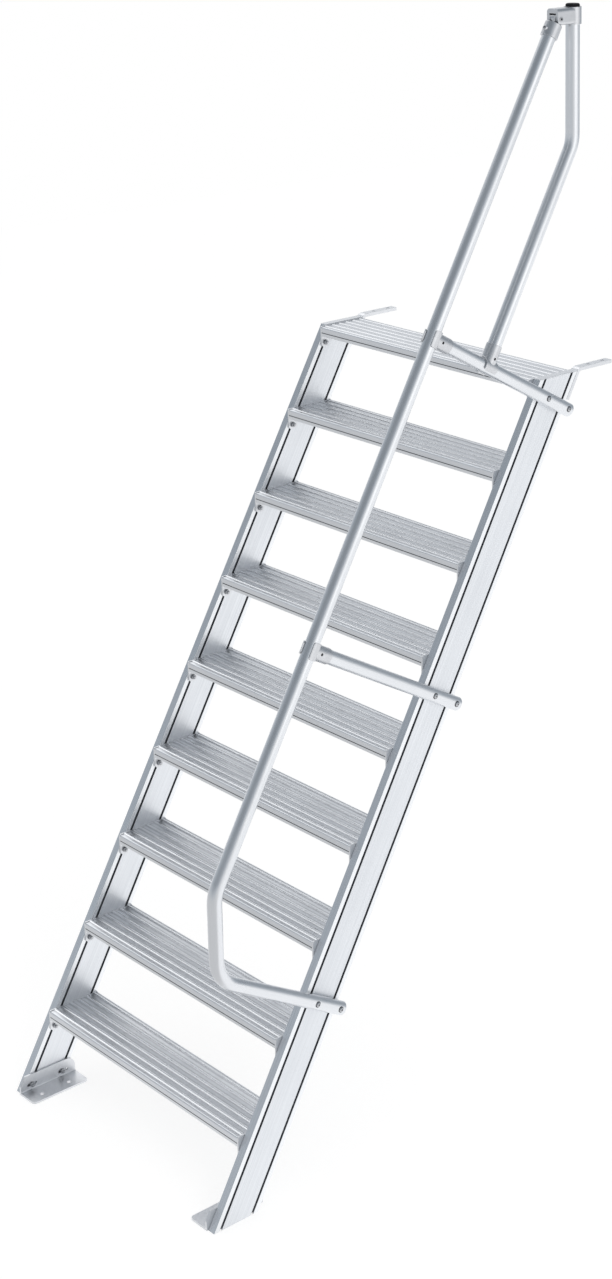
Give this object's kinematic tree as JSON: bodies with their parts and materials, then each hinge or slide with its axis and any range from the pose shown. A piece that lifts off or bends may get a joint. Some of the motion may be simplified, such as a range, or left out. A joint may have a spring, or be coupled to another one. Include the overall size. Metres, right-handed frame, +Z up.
{
  "type": "aluminium stair ladder",
  "caption": "Steep open-tread aluminium stair ladder with ribbed treads, a tubular side handrail, floor brackets and landing straps.",
  "frame": {"origin": "underside of the left floor bracket, midway between its two floor holes", "axes": "+Z up, +Y the way a person climbs, +X to the climber's right along the treads"},
  "size_m": [1.0205, 1.5406, 3.213],
  "materials": {
    "profile_aluminium": "extruded, natural anodised, satin",
    "tread_aluminium": "extruded, ribbed, worn satin",
    "plate_aluminium": "rolled plate with sawn edges",
    "tube_aluminium": "drawn tube, brushed satin",
    "cast_aluminium": "tumbled casting, fine grain",
    "zinc_steel": "bright zinc plated",
    "black_plastic": "fine moulded grain"
  },
  "bodies": {
    "root": {"left_stringer": "profile_aluminium", "right_stringer": "profile_aluminium", "tread_1": "tread_aluminium", "tread_1_left_plate": "plate_aluminium", "tread_1_right_plate": "plate_aluminium", "tread_2": "tread_aluminium", "tread_2_left_plate": "plate_aluminium", "tread_2_right_plate": "plate_aluminium", "tread_3": "tread_aluminium", "tread_3_left_plate": "plate_aluminium", "tread_3_right_plate": "plate_aluminium", "tread_4": "tread_aluminium", "tread_4_left_plate": "plate_aluminium", "tread_4_right_plate": "plate_aluminium", "tread_5": "tread_aluminium", "tread_5_left_plate": "plate_aluminium", "tread_5_right_plate": "plate_aluminium", "tread_6": "tread_aluminium", "tread_6_left_plate": "plate_aluminium", "tread_6_right_plate": "plate_aluminium", "tread_7": "tread_aluminium", "tread_7_left_plate": "plate_aluminium", "tread_7_right_plate": "plate_aluminium", "tread_8": "tread_aluminium", "tread_8_left_plate": "plate_aluminium", "tread_8_right_plate": "plate_aluminium", "tread_9": "tread_aluminium", "tread_9_left_plate": "plate_aluminium", "tread_9_right_plate": "plate_aluminium", "left_floor_bracket": "plate_aluminium", "right_floor_bracket": "plate_aluminium", "left_landing_strap": "plate_aluminium", "right_landing_strap": "plate_aluminium", "handrail": "tube_aluminium", "middle_rail_support": "tube_aluminium", "upper_rail_support": "tube_aluminium", "upper_post": "tube_aluminium", "middle_rail_tee": "cast_aluminium", "upper_rail_tee": "cast_aluminium", "post_tee": "cast_aluminium", "post_collar": "cast_aluminium", "rail_socket": "cast_aluminium", "post_cap": "black_plastic"}
  },
  "joints": []
}
